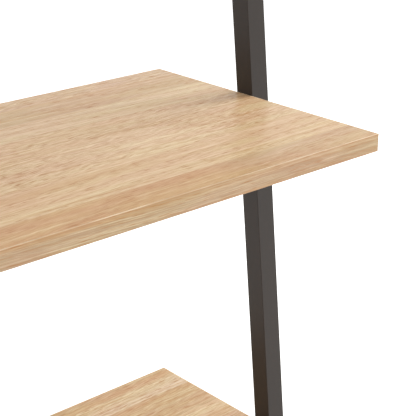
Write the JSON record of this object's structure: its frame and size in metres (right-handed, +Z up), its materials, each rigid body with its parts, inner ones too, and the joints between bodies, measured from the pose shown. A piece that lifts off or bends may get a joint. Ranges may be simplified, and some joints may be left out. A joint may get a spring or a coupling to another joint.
{
  "type": "ladder shelf",
  "caption": "Leaning ladder shelf: wood boards that grow deeper downwards, on bent steel brackets between two slanted square-tube legs, with swivel feet and wall brackets.",
  "frame": {"origin": "on the floor, at the middle of the shelf's plan: midway between the legs, midway between the lowest board's front edge and the wall plane", "axes": "+X to the right as seen from the front, +Y towards the wall that the shelf leans on, +Z up"},
  "size_m": [0.652, 0.31, 1.6398],
  "materials": {
    "powder_coated_steel": "fine matte powder coat, dark bronze brown",
    "oak_laminate": "satin natural oak decor, grain along the board's length",
    "oak_edge_band": "satin natural oak edge band, grain along the strip",
    "black_plastic": "fine matte",
    "zinc_steel": "bright zinc plate"
  },
  "bodies": {
    "frame": {"left_leg": "powder_coated_steel", "left_rivet_nuts": "zinc_steel", "left_bracket_bolts": "zinc_steel", "left_top_cap": "black_plastic", "left_foot_insert": "black_plastic", "left_wall_bracket": "powder_coated_steel", "right_leg": "powder_coated_steel", "right_rivet_nuts": "zinc_steel", "right_bracket_bolts": "zinc_steel", "right_top_cap": "black_plastic", "right_foot_insert": "black_plastic", "right_wall_bracket": "powder_coated_steel", "top_rail": "powder_coated_steel", "top_rail_end_nuts": "zinc_steel", "top_rail_bolts": "zinc_steel", "wall_bracket_bolts": "zinc_steel", "shelf_1_left_bracket": "powder_coated_steel", "shelf_1_right_bracket": "powder_coated_steel", "shelf_1_board": "oak_laminate", "shelf_1_edge_bands": "oak_edge_band", "shelf_1_screws": "zinc_steel", "shelf_2_left_bracket": "powder_coated_steel", "shelf_2_right_bracket": "powder_coated_steel", "shelf_2_board": "oak_laminate", "shelf_2_edge_bands": "oak_edge_band", "shelf_2_screws": "zinc_steel", "shelf_3_left_bracket": "powder_coated_steel", "shelf_3_right_bracket": "powder_coated_steel", "shelf_3_board": "oak_laminate", "shelf_3_edge_bands": "oak_edge_band", "shelf_3_screws": "zinc_steel", "shelf_4_left_bracket": "powder_coated_steel", "shelf_4_right_bracket": "powder_coated_steel", "shelf_4_board": "oak_laminate", "shelf_4_edge_bands": "oak_edge_band", "shelf_4_screws": "zinc_steel", "shelf_5_left_bracket": "powder_coated_steel", "shelf_5_right_bracket": "powder_coated_steel", "shelf_5_board": "oak_laminate", "shelf_5_edge_bands": "oak_edge_band", "shelf_5_screws": "zinc_steel"},
    "left_foot_stud": {"left_foot_stud": "zinc_steel"},
    "left_foot_pad": {"left_foot_pad": "black_plastic"},
    "right_foot_stud": {"right_foot_stud": "zinc_steel"},
    "right_foot_pad": {"right_foot_pad": "black_plastic"}
  },
  "joints": [
    {"name": "left_foot_height", "type": "slide", "parent": "frame", "child": "left_foot_stud", "axis": [0, 0.0924, 0.9957], "range_m": [0, 0.012]},
    {"name": "left_foot_tilt", "type": "hinge", "parent": "left_foot_stud", "child": "left_foot_pad", "pos_m": [-0.31, -0.0069, 0.009], "axis": [1, 0, 0], "range_deg": [-12, 12]},
    {"name": "right_foot_height", "type": "slide", "parent": "frame", "child": "right_foot_stud", "axis": [0, 0.0924, 0.9957], "range_m": [0, 0.012]},
    {"name": "right_foot_tilt", "type": "hinge", "parent": "right_foot_stud", "child": "right_foot_pad", "pos_m": [0.31, -0.0069, 0.009], "axis": [1, 0, 0], "range_deg": [-12, 12]}
  ]
}
